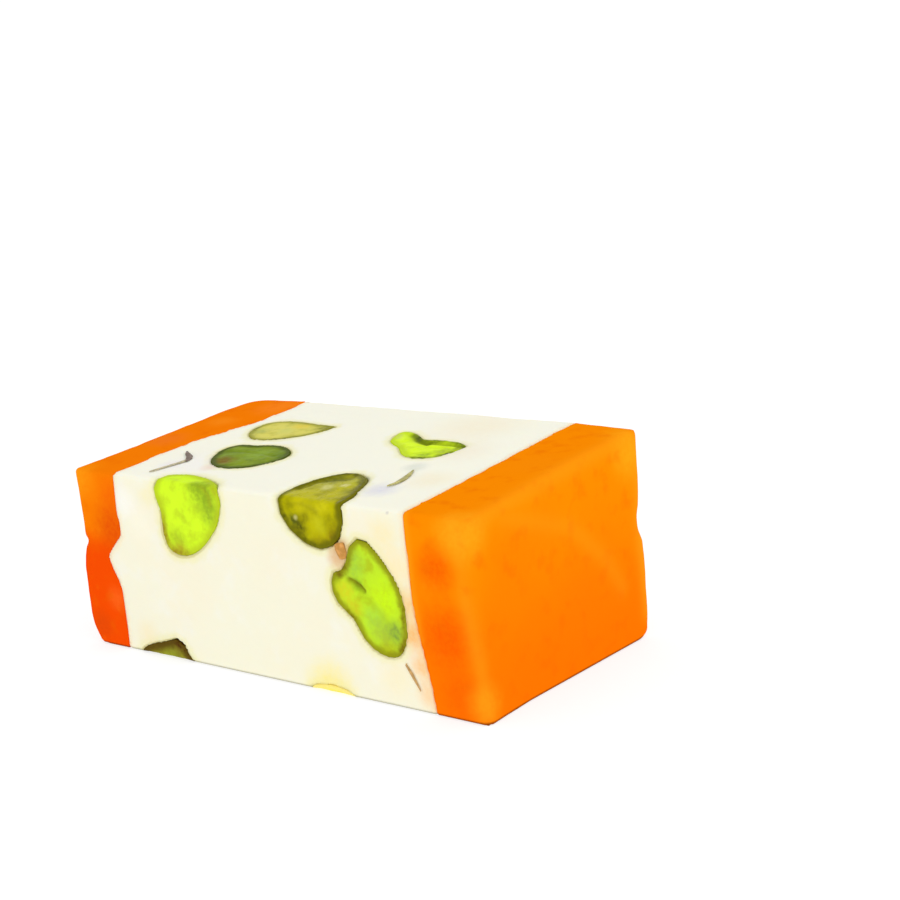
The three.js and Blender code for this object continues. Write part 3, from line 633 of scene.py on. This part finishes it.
def coat(tree, shader, base, depth, strength, flecks=None, **grain):
    """Gives a shader its colour, and fine grain in its gloss and as bumps; flecks stand out."""
    tree.links.new(base, shader.inputs["Base Color"])
    made = use_group(tree, "fine_grain", grain_group, **grain)
    tree.links.new(made["Roughness"], shader.inputs["Roughness"])
    height = made["Height"]
    if flecks is not None:
        height = maths(tree, "ADD", height, maths(tree, "MULTIPLY", flecks, 0.5))
    rise = {"Height": height, "Distance": depth * MM, "Strength": strength}
    bump = add(tree, "ShaderNodeBump", rise)
    tree.links.new(bump.outputs["Normal"], shader.inputs["Normal"])


# ---- finishes ----


def nougat_finish(colours):
    finish, tree, shader = new_finish(
        "soft_nougat", Subsurface_Weight=0.25, Subsurface_Scale=1.2 * MM, Specular_IOR_Level=0.1,
    )
    shader.inputs["Subsurface Radius"].default_value = (1.0, 0.85, 0.6)
    warm = clouds(tree, 9 * MM, 3.0, (0.45, 0.7))
    base = blend(tree, warm, colours.nougat, colours.nougat_warm)
    cool = clouds(tree, 3.4 * MM, 5.0, (0.5, 0.75), share=0.6)
    base = blend(tree, cool, base, colours.nougat_cool)
    # Painted light: the upward faces are paler and cooler, as the light from above falls on them
    base = blend(tree, attribute(tree, "on_top"), base, colours.nougat_top_light)
    from_kernel, from_fruit = attribute(tree, "from_kernel"), attribute(tree, "from_fruit")
    fruit = band_mask(tree, from_fruit, width=0.9, ragged=1.2)
    base = tinge(tree, base, colours.fruit_halo, fruit, strength=0.4)
    halo = band_mask(tree, from_kernel, width=1.2, ragged=1.6)
    base = tinge(tree, base, colours.kernel_halo, halo, strength=0.45)
    seam = band_mask(tree, from_kernel, width=0.32, ragged=1.2)
    base = tinge(tree, base, colours.kernel_seam, seam, strength=0.55)
    base = lay_spots(tree, base, NOUGAT_STAINS, ragged=0.3)
    base = shade_foot(tree, base, colours.nougat_foot, strength=0.75)
    coat(tree, shader, base, depth=0.05, strength=0.5, Size=0.9 * MM, Gloss=0.62, Spread=0.3)
    return finish


def fruit_finish(name, colours, layer):
    """Fruit paste whose colour turns from lower to upper, with painted highlights on its lit edges
    and denser clouds.
    """
    finish, tree, shader = new_finish(name, Specular_IOR_Level=0.0)
    place = add(tree, "ShaderNodeTexCoord").outputs["Object"]
    height = add(tree, "ShaderNodeSeparateXYZ", {"Vector": place}).outputs["Z"]
    wander = maths(tree, "SUBTRACT", waves(tree, 5 * MM), 0.5)
    level = maths(tree, "ADD", height, maths(tree, "MULTIPLY", wander, layer["wander"] * MM))
    low, high = layer["heights"]
    lower, upper = getattr(colours, layer["lower"]), getattr(colours, layer["upper"])
    base = blend(tree, ramp(tree, level, low * MM, high * MM), lower, upper)
    base = lay_spots(tree, base, layer["spots"], ragged=0.4)
    dense = clouds(tree, 2.2 * MM, 4.0, (0.5, 0.75), share=0.35)
    base = blend(tree, dense, base, colours.fruit_dark)
    # Painted highlights: paler paste along the lit edges and in the lit band across the right end
    # face
    base = blend(tree, attribute(tree, "streak"), base, colours.fruit_highlight_and_grain)
    grains = {"Spacing": 1.5 * MM, "Fill": 0.34, "Share": 0.3}
    flecks = use_group(tree, "scattered_flecks", fleck_group, **grains)["Mask"]
    base = tinge(tree, base, colours.fruit_highlight_and_grain, flecks, strength=0.05)
    base = shade_foot(tree, base, colours.fruit_foot, strength=0.9)
    coat(
        tree, shader, base, depth=0.06, strength=0.5, flecks=flecks,
        Size=1.3 * MM, Gloss=0.42, Spread=0.35,
    )
    return finish


def kernel_finish(name, kernel):
    finish, tree, shader = new_finish(
        "flesh_" + name, Specular_IOR_Level=0.02, Subsurface_Weight=0.12,
        Subsurface_Scale=0.8 * MM,
    )
    shader.inputs["Subsurface Radius"].default_value = (0.8, 1.0, 0.3)
    flesh, deep, rim = (tint(kernel[part]) for part in ("flesh", "deep", "rim"))
    base = blend(tree, clouds(tree, 1.5 * MM, 4.0, (0.42, 0.72), share=0.75), flesh, deep)
    distance = attribute(tree, "from_skin")
    base = lay_spots(tree, base, kernel["spots"], ragged=0.6)
    base = blend(tree, ramp(tree, distance, 1.3, 0.0, 0.0, 0.8), base, deep)
    # Painted shade in the creases: grooves darken towards the rim colour, the more the deeper they
    # are
    base = tinge(tree, base, rim, attribute(tree, "groove"), strength=0.75)
    band = band_mask(tree, distance, kernel["rim_width"] * 1.6, ragged=1.5)
    shown = kernel["rim_share"]
    for *place, reach in kernel.get("rims", []):
        shown = maths(tree, "MAXIMUM", shown, spot_mask(tree, place, reach, ragged=0.6))
    base = tinge(tree, base, rim, band, strength=shown)
    rough = kernel["rough"]
    coat(tree, shader, base, depth=0.05, strength=0.6, Size=0.6 * MM, Gloss=rough, Spread=0.3)
    return finish


def skin_finish(name, tone):
    finish, tree, shader = new_finish(name, Specular_IOR_Level=0.25)
    light = [min(1.0, 1.6 * channel + 0.05) for channel in tone]
    thin = clouds(tree, 0.7 * MM, 3.0, (0.4, 0.75), share=0.8)
    base = blend(tree, thin, tone, light)
    coat(tree, shader, base, depth=0.03, strength=0.6, Size=0.3 * MM, Gloss=0.6, Spread=0.3)
    return finish


# ---- skins ----


def near_tree(*names):
    """A search tree of the faces of some of the frame's solids."""
    faces = bmesh.new()
    for name in names:
        faces.from_mesh(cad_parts[name].data)
    tree = BVHTree.FromBMesh(faces)
    faces.free()
    return tree


def even_skin(name, node, cell):
    """A piece with the form of a solid and even, small faces."""
    solid = bmesh.new()
    solid.from_mesh(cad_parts[node].data)
    bmesh.ops.remove_doubles(solid, verts=solid.verts, dist=WELD)
    mesh = bpy.data.meshes.new(name)
    solid.to_mesh(mesh)
    solid.free()
    piece = bpy.data.objects.new(name, mesh)
    bpy.context.collection.objects.link(piece)
    remesh = piece.modifiers.new("even_faces", "REMESH")
    remesh.mode = "VOXEL"
    remesh.voxel_size = cell
    shown = piece.evaluated_get(bpy.context.evaluated_depsgraph_get())
    even = bpy.data.meshes.new_from_object(shown)
    piece.modifiers.clear()
    piece.data = even
    bpy.data.meshes.remove(mesh)
    even.name = name
    skin = bmesh.new()
    skin.from_mesh(even)
    return piece, skin


def smooth(skin, times):
    for _ in range(times):
        bmesh.ops.smooth_vert(
            skin, verts=skin.verts, factor=0.5, use_axis_x=True, use_axis_y=True, use_axis_z=True,
        )


def nearest(tree, place):
    spot, _, _, distance = tree.find_nearest(place)
    return spot, distance


def border_share(distance):
    """From 0 well inside a piece to 1 at its border; the distance is to its neighbour's solid."""
    return clamp((STRETCH - distance) / (STRETCH - CLEARANCE))


def settle(skin, own, neighbour):
    """Puts the smoothed border of a piece back on to the faces of its own solid."""
    for vert in skin.verts:
        share = border_share(nearest(neighbour, vert.co)[1])
        if share > 0:
            vert.co = vert.co.lerp(nearest(own, vert.co)[0], share)


def plant(skin, own):
    """Puts the smoothed foot of a piece back on to the faces of its own solid."""
    for vert in skin.verts:
        share = clamp(2 - vert.co.z / FOOT)
        if share > 0:
            vert.co = vert.co.lerp(nearest(own, vert.co)[0], share)


def close_up(skin, neighbour, width):
    """Stretches the border of a piece towards its neighbour, over a width of the clearance."""
    for vert in skin.verts:
        spot, distance = nearest(neighbour, vert.co)
        share = border_share(distance)
        if share > 0:
            vert.co += (spot - vert.co).normalized() * (width + OVERLAP) * share


def cloud(place, size):
    """Cloudy noise between about 0 and 1."""
    return clamp(0.5 + CLOUD_SWING * noise.fractal(place / size, 1.0, 2.0, CLOUD_STEPS))


def relief(place, depth, size):
    """How deep the waves of a cut are at a place, the broad ones and the fine ones."""
    broad, fine = cloud(place, size), cloud(place, size * FINE_STEP)
    return depth * (broad + FINE_STEP * fine) / (1 + FINE_STEP)


def path_bell(place, path, width):
    """A bell across a path: 1 on it, and about 0.1 one width away."""
    points = [Vector(point) * MM for point in path]
    nearby = 0.0
    for start, end in zip(points, points[1:]):
        along = end - start
        at = clamp((place - start).dot(along) / along.length_squared)
        away = (place - start - along * at).length / (width * MM)
        nearby = max(nearby, math.exp(-WALL * away * away))
    return nearby


def groove_depth(place, grooves):
    """How deep the deepest of some grooves is at a place, and its share of a full groove."""
    depth, share = 0.0, 0.0
    for path, width, deep in grooves:
        bell = path_bell(place, path, width)
        depth = max(depth, deep * MM * bell)
        share = max(share, bell * min(1.0, deep / FULL_GROOVE))
    return depth, share


# How strongly a place takes the painted highlight of the nearest streak
def streak_share(place, streaks):
    return max(share * path_bell(place, path, width) for path, width, share in streaks)


def sink(skin, depths):
    """Lowers each vertex below the surface by its depth."""
    skin.normal_update()
    for vert, depth in zip(skin.verts, depths):
        vert.co -= vert.normal * depth


def keep_inside(skin):
    """Keeps a piece within the box of the whole bar."""
    low, high = CAD_BOX
    for vert in skin.verts:
        for axis in range(3):
            vert.co[axis] = min(high[axis], max(low[axis], vert.co[axis]))


def border_fade(distance):
    """From 0 at a joint to 1 inside its flat border; the distance is in metres."""
    share = clamp(distance / MM / FLAT_BORDER)
    return share * share * (3 - 2 * share)


def sliver_outward(sliver):
    return Vector((0, -1, 0)) if sliver["face"] == "front" else Vector((0, 0, 1))


def sliver_points(sliver, core):
    """The points of a sliver's path on the cut face of the core."""
    outward = sliver_outward(sliver)
    points = []
    for x, along in sliver["path"]:
        away = OUTSIDE[sliver["face"]]
        start = Vector((x, away, along)) if sliver["face"] == "front" else Vector((x, along, away))
        points.append(core.ray_cast(start * MM, -outward)[0])
    return points


def sliver_frames(sliver, core):
    """The matrices along a sliver: across it, out of the surface and along it."""
    outward = sliver_outward(sliver)
    points = sliver_points(sliver, core)
    frames = []
    for at, point in enumerate(points):
        ahead = (points[min(at + 1, len(points) - 1)] - points[max(at - 1, 0)]).normalized()
        across = ahead.cross(outward).normalized()
        turn = Matrix((across, ahead.cross(across), ahead)).transposed().to_4x4()
        half = (0.5 * sliver["widths"][at] * MM, 0.5 * sliver["thick"] * MM, 1, 1)
        sunk = point - outward * 0.5 * sliver["thick"] * MM
        frames.append(Matrix.Translation(sunk) @ turn @ Matrix.Diagonal(half))
    return frames


def sweep(skin, frames):
    """Pulls a ring through a row of frames, closed at both ends."""
    bmesh.ops.create_circle(skin, cap_ends=True, segments=SLIVER_SIDES, radius=1, matrix=frames[0])
    face = skin.faces[:][0]
    for before, after in zip(frames, frames[1:]):
        made = bmesh.ops.extrude_face_region(skin, geom=[face], use_keep_orig=before is frames[0])
        verts = [part for part in made["geom"] if isinstance(part, bmesh.types.BMVert)]
        face = next(part for part in made["geom"] if isinstance(part, bmesh.types.BMFace))
        bmesh.ops.transform(skin, matrix=after @ before.inverted(), verts=verts)


def finish_piece(piece, skin, finish, node, slot, **measures):
    """Stores the skin, its finish and its measures, and puts the piece in its node's place."""
    for face in skin.faces:
        face.smooth = True
    skin.to_mesh(piece.data)
    skin.free()
    piece.data.materials.clear()
    piece.data.materials.append(finish)
    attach(piece, "root")
    if node:
        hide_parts(node)
    for name, values in measures.items():
        piece.data.attributes.new(name, "FLOAT", "POINT").data.foreach_set("value", values)


# ---- stage ----

FLOOR_REACH = 4  # metres from the middle to the floor's edges
SKY_TONE, SKY_STRENGTH = (0.985, 0.99, 1.0, 1), 0.93
# Each soft lamp's place and size in metres, its power in watts and its colour
LAMPS = {
    "key_light": ((0.34, -0.42, 0.30), 0.45, 0.5, (1.0, 0.97, 0.90)),
    "end_light": ((0.62, 0.02, 0.22), 0.40, 0.25, (1.0, 0.98, 0.94)),
}
# The photo's camera: its angles in degrees, its place and nearest reach in metres, and its lens and
# sensor in millimetres
CAMERA = {
    "turn": 39.573, "rise": 14.459, "tilt": -4.7275, "place": (0.159019, -0.174524, 0.082034),
    "nearest": 0.01, "lens": 86.85, "sensor": 36,
}


def lay_floor(colours):
    ground = bmesh.new()
    under = Matrix.Translation((0, 0, -WELD))
    bmesh.ops.create_grid(ground, x_segments=1, y_segments=1, size=FLOOR_REACH, matrix=under)
    mesh = bpy.data.meshes.new("floor")
    ground.to_mesh(mesh)
    ground.free()
    floor = bpy.data.objects.new("floor", mesh)
    bpy.context.collection.objects.link(floor)
    finish, tree, shader = new_finish(
        "pale_floor", Roughness=0.9, Specular_IOR_Level=0.1, Emission_Strength=colours.floor_glow,
    )
    worn = clouds(tree, 0.08, 3.0, (0.3, 0.7))
    paler = [min(1.0, 1.02 * channel) for channel in colours.floor]
    tree.links.new(blend(tree, worn, colours.floor, paler), shader.inputs["Base Color"])
    mesh.materials.append(finish)


def light_sky(scene):
    world = bpy.data.worlds.new("studio")
    world.use_nodes = True
    sky = world.node_tree.nodes["Background"]
    sky.inputs["Color"].default_value = SKY_TONE
    sky.inputs["Strength"].default_value = SKY_STRENGTH
    scene.world = world


def soft_lamp(name, place, size, power, tone):
    lamp = bpy.data.lights.new(name, "AREA")
    lamp.size = size
    lamp.energy = power
    lamp.color = tone
    holder = bpy.data.objects.new(name, lamp)
    holder.location = place
    holder.rotation_euler = Vector(place).to_track_quat("Z", "Y").to_euler()
    bpy.context.collection.objects.link(holder)


def place_camera(scene):
    turn, rise, tilt = (math.radians(CAMERA[angle]) for angle in ("turn", "rise", "tilt"))
    level = Vector((math.cos(turn), math.sin(turn), 0))
    flat = math.cos(rise)
    back = Vector((math.sin(turn) * flat, -math.cos(turn) * flat, math.sin(rise)))
    upward = back.cross(level)
    right = level * math.cos(tilt) + upward * math.sin(tilt)
    axes = Matrix((right, back.cross(right), back)).transposed().to_4x4()
    data = bpy.data.cameras.new("camera")
    data.lens = CAMERA["lens"]
    data.sensor_width = CAMERA["sensor"]
    data.clip_start = CAMERA["nearest"]
    camera = bpy.data.objects.new("camera", data)
    camera.matrix_world = Matrix.Translation(CAMERA["place"]) @ axes
    bpy.context.collection.objects.link(camera)
    scene.camera = camera


# ---- operators ----


class NOUGATBAR_OT_core(bpy.types.Operator):
    """Dresses the nougat core: a soft cut skin with waves, stains and halos round its kernels"""

    bl_idname = "nougatbar.core"
    bl_label = "Nougat core"

    def execute(self, context):
        sizes, colours = context.scene.bar_sizes, context.scene.bar_colours
        kernels, fruit = near_tree(*KERNEL_NODES), near_tree(*LAYERS)
        piece, skin = even_skin("cut_nougat", CORE_NODE, sizes.nougat_cell)
        smooth(skin, sizes.smoothing)
        own = near_tree(CORE_NODE)
        settle(skin, own, kernels)
        settle(skin, own, fruit)
        plant(skin, own)
        close_up(skin, kernels, CLEARANCE)
        close_up(skin, fruit, CLEARANCE / 2)
        slots = [
            ([point / MM for point in sliver_points(sliver, own)], max(sliver["widths"]))
            for sliver in SKINS.values()
        ]
        from_kernel, from_fruit, depths = [], [], []
        for vert in skin.verts:
            kernel = nearest(kernels, vert.co)[1]
            layer = max(0.0, nearest(fruit, vert.co)[1] - CLEARANCE / 2)
            depth = border_fade(min(kernel, layer, vert.co.z)) * sizes.nougat_relief
            slot = max(path_bell(vert.co, path, width) for path, width in slots)
            depths.append(relief(vert.co, depth, sizes.nougat_wave) + SLOT_DEPTH * MM * slot)
            from_kernel.append(kernel / MM)
            from_fruit.append(layer / MM)
        sink(skin, depths)
        keep_inside(skin)
        # Painted light: how far each vertex faces up, for the paler, cooler top
        on_top = [clamp(TOP_LIGHT_RISE * vert.normal.z - TOP_LIGHT_START) for vert in skin.verts]
        finish_piece(
            piece, skin, nougat_finish(colours), CORE_NODE, "nougat",
            on_top=on_top, from_kernel=from_kernel, from_fruit=from_fruit,
        )
        return {"FINISHED"}


class NOUGATBAR_OT_fruit(bpy.types.Operator):
    """Dresses the two layers of apricot paste, and closes them up to the nougat"""

    bl_idname = "nougatbar.fruit"
    bl_label = "Fruit layers"

    def execute(self, context):
        sizes, colours = context.scene.bar_sizes, context.scene.bar_colours
        core = near_tree(CORE_NODE)
        for node, layer in LAYERS.items():
            piece, skin = even_skin("cut_" + node, node, sizes.fruit_cell)
            smooth(skin, sizes.smoothing)
            own = near_tree(node)
            settle(skin, own, core)
            plant(skin, own)
            close_up(skin, core, CLEARANCE / 2)
            # Painted highlights: how strongly each vertex takes the paler paste colour
            streak, depths = [], []
            for vert in skin.verts:
                joint = nearest(core, vert.co)[1] - CLEARANCE / 2
                depth = border_fade(min(joint, vert.co.z)) * sizes.fruit_relief
                depths.append(relief(vert.co, depth, sizes.fruit_wave))
                streak.append(streak_share(vert.co, layer["streaks"]))
            sink(skin, depths)
            keep_inside(skin)
            finish = fruit_finish(node, colours, layer)
            finish_piece(piece, skin, finish, node, layer["slot"], streak=streak)
        return {"FINISHED"}


class NOUGATBAR_OT_kernels(bpy.types.Operator):
    """Dresses the cut pistachio kernels: uneven flesh, grooves and a dark rim of skin"""

    bl_idname = "nougatbar.kernels"
    bl_label = "Pistachio kernels"

    def execute(self, context):
        sizes = context.scene.bar_sizes
        core = near_tree(CORE_NODE)
        for name, kernel in KERNELS.items():
            node = "pistachio_" + name
            piece, skin = even_skin("kernel_" + name, node, sizes.kernel_cell)
            smooth(skin, sizes.smoothing)
            settle(skin, near_tree(node), core)
            from_skin, groove, depths = [], [], []
            for vert in skin.verts:
                distance = max(0.0, nearest(core, vert.co)[1] - CLEARANCE)
                # Each groove sinks the surface and gives its share of the painted shade in the
                # crease
                cut, share = groove_depth(vert.co, kernel.get("grooves", []))
                rise = sizes.kernel_relief * cloud(vert.co, sizes.kernel_wave)
                depths.append(border_fade(distance) * (rise + cut))
                groove.append(share)
                from_skin.append(distance / MM)
            sink(skin, depths)
            keep_inside(skin)
            finish_piece(
                piece, skin, kernel_finish(name, kernel), node, kernel["slot"],
                from_skin=from_skin, groove=groove,
            )
        return {"FINISHED"}


class NOUGATBAR_OT_skins(bpy.types.Operator):
    """Lays the torn slivers of pistachio skin into the cut faces"""

    bl_idname = "nougatbar.skins"
    bl_label = "Slivers of skin"

    def execute(self, context):
        colours = context.scene.bar_colours
        core = near_tree(CORE_NODE)
        for name, sliver in SKINS.items():
            skin = bmesh.new()
            sweep(skin, sliver_frames(sliver, core))
            bmesh.ops.recalc_face_normals(skin, faces=skin.faces)
            keep_inside(skin)
            piece = bpy.data.objects.new(name, bpy.data.meshes.new(name))
            bpy.context.collection.objects.link(piece)
            finish = skin_finish("skin_" + name, getattr(colours, sliver["tone"]))
            finish_piece(piece, skin, finish, None, "pistachio_skin")
        return {"FINISHED"}


class NOUGATBAR_OT_stage(bpy.types.Operator):
    """Sets the pale floor, the soft light and the camera"""

    bl_idname = "nougatbar.stage"
    bl_label = "Stage"

    def execute(self, context):
        scene = context.scene
        scene.view_settings.view_transform = "Standard"
        lay_floor(scene.bar_colours)
        light_sky(scene)
        for name, lamp in LAMPS.items():
            soft_lamp(name, *lamp)
        place_camera(scene)
        return {"FINISHED"}


# ---- panel and registration ----

OPERATORS = (
    NOUGATBAR_OT_core,
    NOUGATBAR_OT_fruit,
    NOUGATBAR_OT_kernels,
    NOUGATBAR_OT_skins,
    NOUGATBAR_OT_stage,
)


class NOUGATBAR_PT_panel(bpy.types.Panel):
    """Lists the pieces of the bar with their sizes and colours"""

    bl_label = "Nougat bar"
    bl_idname = "NOUGATBAR_PT_panel"
    bl_space_type = "VIEW_3D"
    bl_region_type = "UI"
    bl_category = "Nougat bar"

    def draw(self, context):
        for operator in OPERATORS:
            self.layout.operator(operator.bl_idname)
        for group in (context.scene.bar_sizes, context.scene.bar_colours):
            for name in group.__annotations__:
                self.layout.prop(group, name)


CLASSES = (BarSizes, BarColours, *OPERATORS, NOUGATBAR_PT_panel)


def register():
    for kind in CLASSES:
        bpy.utils.register_class(kind)
    bpy.types.Scene.bar_sizes = PointerProperty(type=BarSizes)
    bpy.types.Scene.bar_colours = PointerProperty(type=BarColours)


def unregister():
    del bpy.types.Scene.bar_colours
    del bpy.types.Scene.bar_sizes
    for kind in reversed(CLASSES):
        bpy.utils.unregister_class(kind)


def main():
    register()
    bpy.ops.nougatbar.core()
    bpy.ops.nougatbar.fruit()
    bpy.ops.nougatbar.kernels()
    bpy.ops.nougatbar.skins()
    bpy.ops.nougatbar.stage()


if __name__ == "__main__":
    main()
